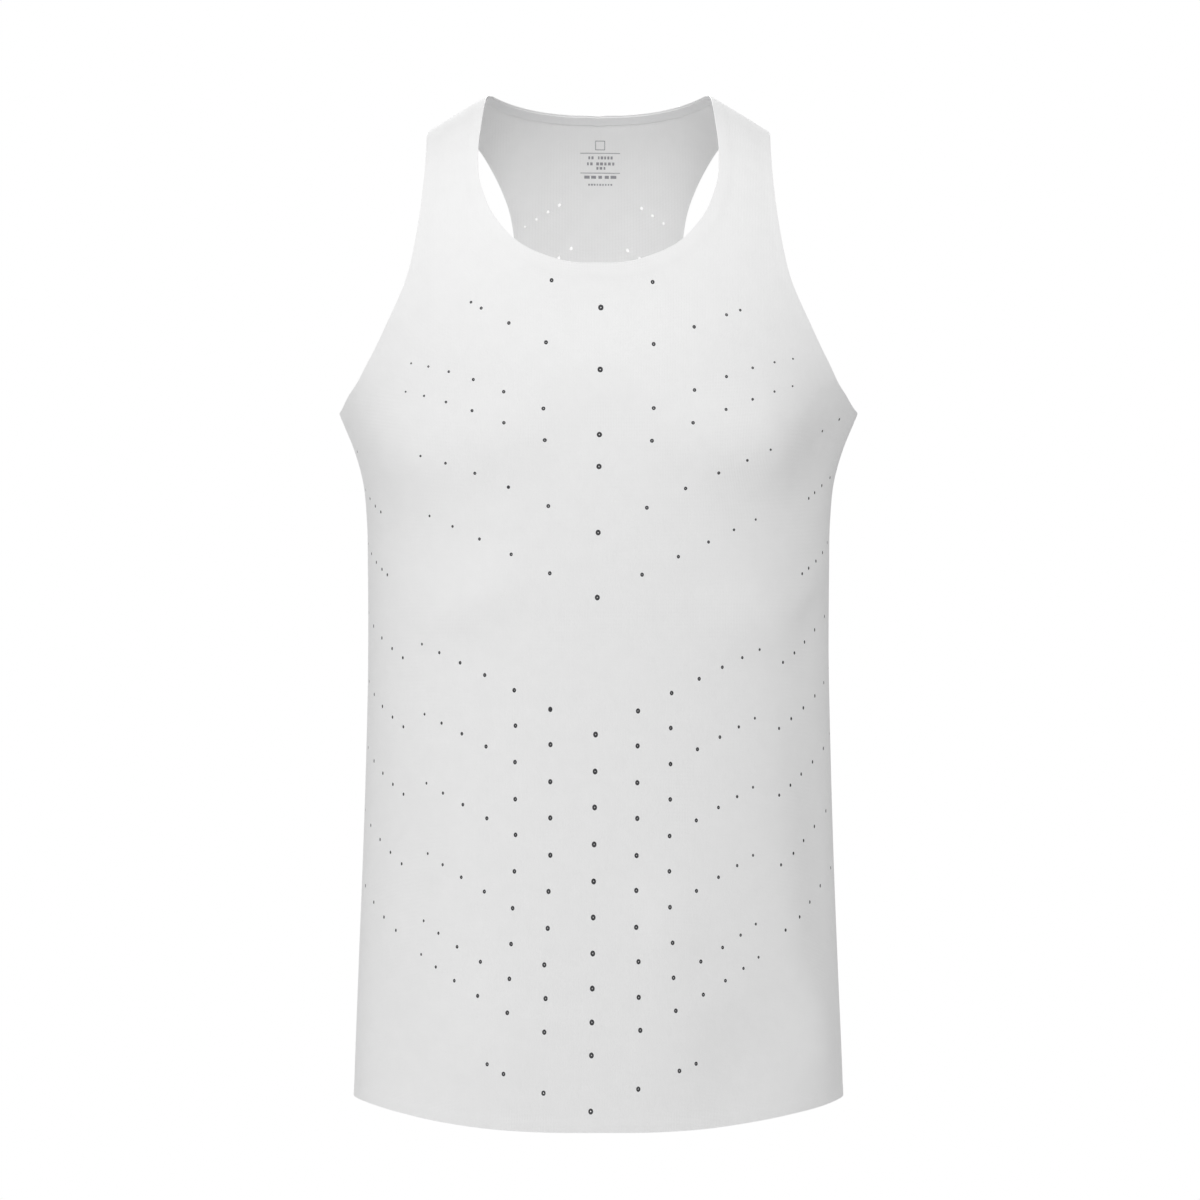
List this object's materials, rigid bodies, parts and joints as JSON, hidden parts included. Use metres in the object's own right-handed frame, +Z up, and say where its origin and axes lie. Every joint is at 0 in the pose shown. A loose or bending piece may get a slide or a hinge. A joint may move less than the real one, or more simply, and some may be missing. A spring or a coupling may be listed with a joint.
{
  "type": "running singlet",
  "caption": "Sleeveless racerback running singlet in thin perforated cloth, filled out hollow as if worn, open at neck, armholes and hem.",
  "frame": {"origin": "midway between the two shoulder edges, at the height where a wearer's shoulders carry the straps", "axes": "+Z up, the front of the garment faces -Y, +X to the right as the front is looked at"},
  "size_m": [0.3636, 0.2407, 0.7168],
  "materials": {
    "singlet_cloth": "smooth matt white polyester knit, laser-perforated",
    "neck_tape": "smooth bonded stretch tape"
  },
  "bodies": {
    "root": {"front_panel": "singlet_cloth", "back_panel": "singlet_cloth", "neck_tape": "neck_tape"}
  },
  "joints": []
}
